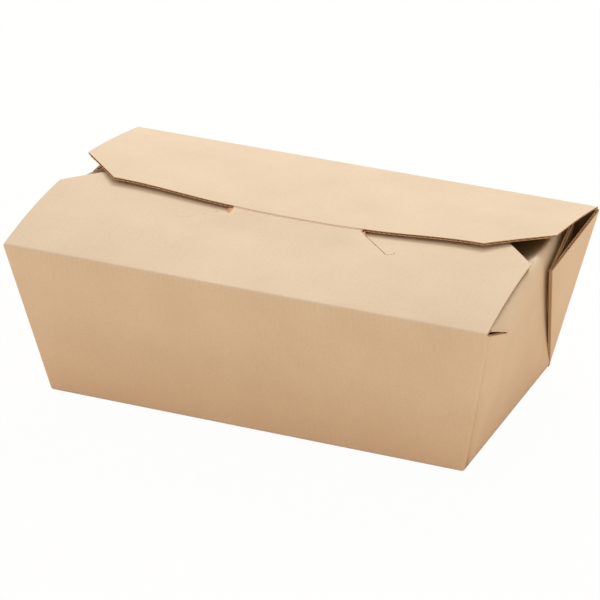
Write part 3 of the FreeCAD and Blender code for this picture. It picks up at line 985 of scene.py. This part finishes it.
# %% Crease of the rear flap
BEND_FROM = 0.9
crease_right = [
    (0, -crease_v - FLAP_ROOT),
    (REAR_ROOT_X, -crease_v - FLAP_ROOT),
    (REAR_ROOT_X, -wall_v),
    (0, -wall_v),
]
crease_lines = [-crease_v - step for step in fold_steps(TOP_CREASE, 8)]
fold_from = fold_strip(0, -crease_v - BEND_FROM) * MM
fold_to = fold_strip(0, -crease_v - FLAP_ROOT) * MM
crease_halves = [crease_right, mirrored(crease_right)]
for piece in board("rear_crease", crease_halves, fold_strip, COARSE, crease_lines,
                   crushed=[rear_score]):
    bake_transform(piece)
    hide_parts("rear_flap")

# %% [markdown]
# Floor
#
# The photograph has a plain white ground. The floor is a large pale sheet that the camera sees
# as nearly white, and that still takes a little of the box's shadow. To the light that falls on
# the box it is a plain cream sheet.

# %% Floor
FLOOR_REACH = 3.0
bm = bmesh.new()
bmesh.ops.create_grid(bm, x_segments=1, y_segments=1, size=FLOOR_REACH)
floor_mesh = bpy.data.meshes.new("floor")
bm.to_mesh(floor_mesh)
bm.free()
floor = bpy.data.objects.new("floor", floor_mesh)
bpy.context.scene.collection.objects.link(floor)

# %% [markdown]
# Light Path tells which kind of ray meets the floor. Rays from the camera, mirrored rays and rays
# that pass through something see the white. All other rays meet the plain cream sheet.

# %% Finish of the floor
SEEN_WHITE = 0.975
ground = Finish("floor")
seen = ground.add("ShaderNodeLightPath", {}, {}, output=0)
glossy = ground.add("ShaderNodeLightPath", {}, {}, output=3)
passing = ground.add("ShaderNodeLightPath", {}, {}, output=6)
plain = ground.add("ShaderNodeBsdfPrincipled", {}, {
    "Base Color": colour(250, 232, 210), "Roughness": 0.9})
white = ground.add("ShaderNodeEmission", {}, {"Color": (1, 1, 1, 1), "Strength": 1.0})
mixed = ground.add("ShaderNodeMixShader", {}, {
    0: (seen + glossy + passing).clamped() * SEEN_WHITE, 1: plain, 2: white})
ground.add("ShaderNodeOutputMaterial", {}, {0: mixed})
floor_mesh.materials.append(ground.material)

# %% [markdown]
# World
#
# The world is plain white where the camera sees it. On the box it is a soft, slightly warm light
# from all sides, which does most of the lighting, as the white walls of a light tent do.

# %% World
WORLD_TINT, WORLD_FILL = colour(255, 240, 223), 0.765
world = bpy.data.worlds.new("studio")
world.use_nodes = True
bpy.context.scene.world = world
world_nodes = world.node_tree.nodes
world_nodes.clear()
links = world.node_tree.links
rays = world_nodes.new("ShaderNodeLightPath")
fill = world_nodes.new("ShaderNodeBackground")
fill.inputs["Color"].default_value = WORLD_TINT
fill.inputs["Strength"].default_value = WORLD_FILL
shown = world_nodes.new("ShaderNodeBackground")
shown.inputs["Strength"].default_value = 1.0
shown.inputs["Color"].default_value = (1, 1, 1, 1)
choice = world_nodes.new("ShaderNodeMixShader")
links.new(rays.outputs["Is Camera Ray"], choice.inputs[0])
links.new(fill.outputs[0], choice.inputs[1])
links.new(shown.outputs[0], choice.inputs[2])
links.new(choice.outputs[0], world_nodes.new("ShaderNodeOutputWorld").inputs[0])
print("world fill", WORLD_FILL)

# %% [markdown]
# Lamp
#
# One soft lamp stands above the box and behind it. It makes the top flaps the palest faces and
# leaves the front wall and the end wall in an even half shade.


# %% Lamp
def lamp(name, spot, size, power):
    """A square lamp at spot, in metres, turned to the box."""
    data = bpy.data.lights.new(name, "AREA")
    data.size, data.energy = size, power
    item = bpy.data.objects.new(name, data)
    spot = Vector(spot)
    aim = (LAMP_AIM - spot).to_track_quat("-Z", "Y")
    item.matrix_world = Matrix.Translation(spot) @ aim.to_matrix().to_4x4()
    bpy.context.scene.collection.objects.link(item)


LAMP_AIM = Vector((0, 0, 0.03))
LAMP_SPOT, LAMP_SIZE, LAMP_POWER = (-0.15, 0.78, 1.0), 0.45, 5.9
lamp("key", LAMP_SPOT, LAMP_SIZE, LAMP_POWER)
bpy.context.scene.view_settings.view_transform = "Standard"
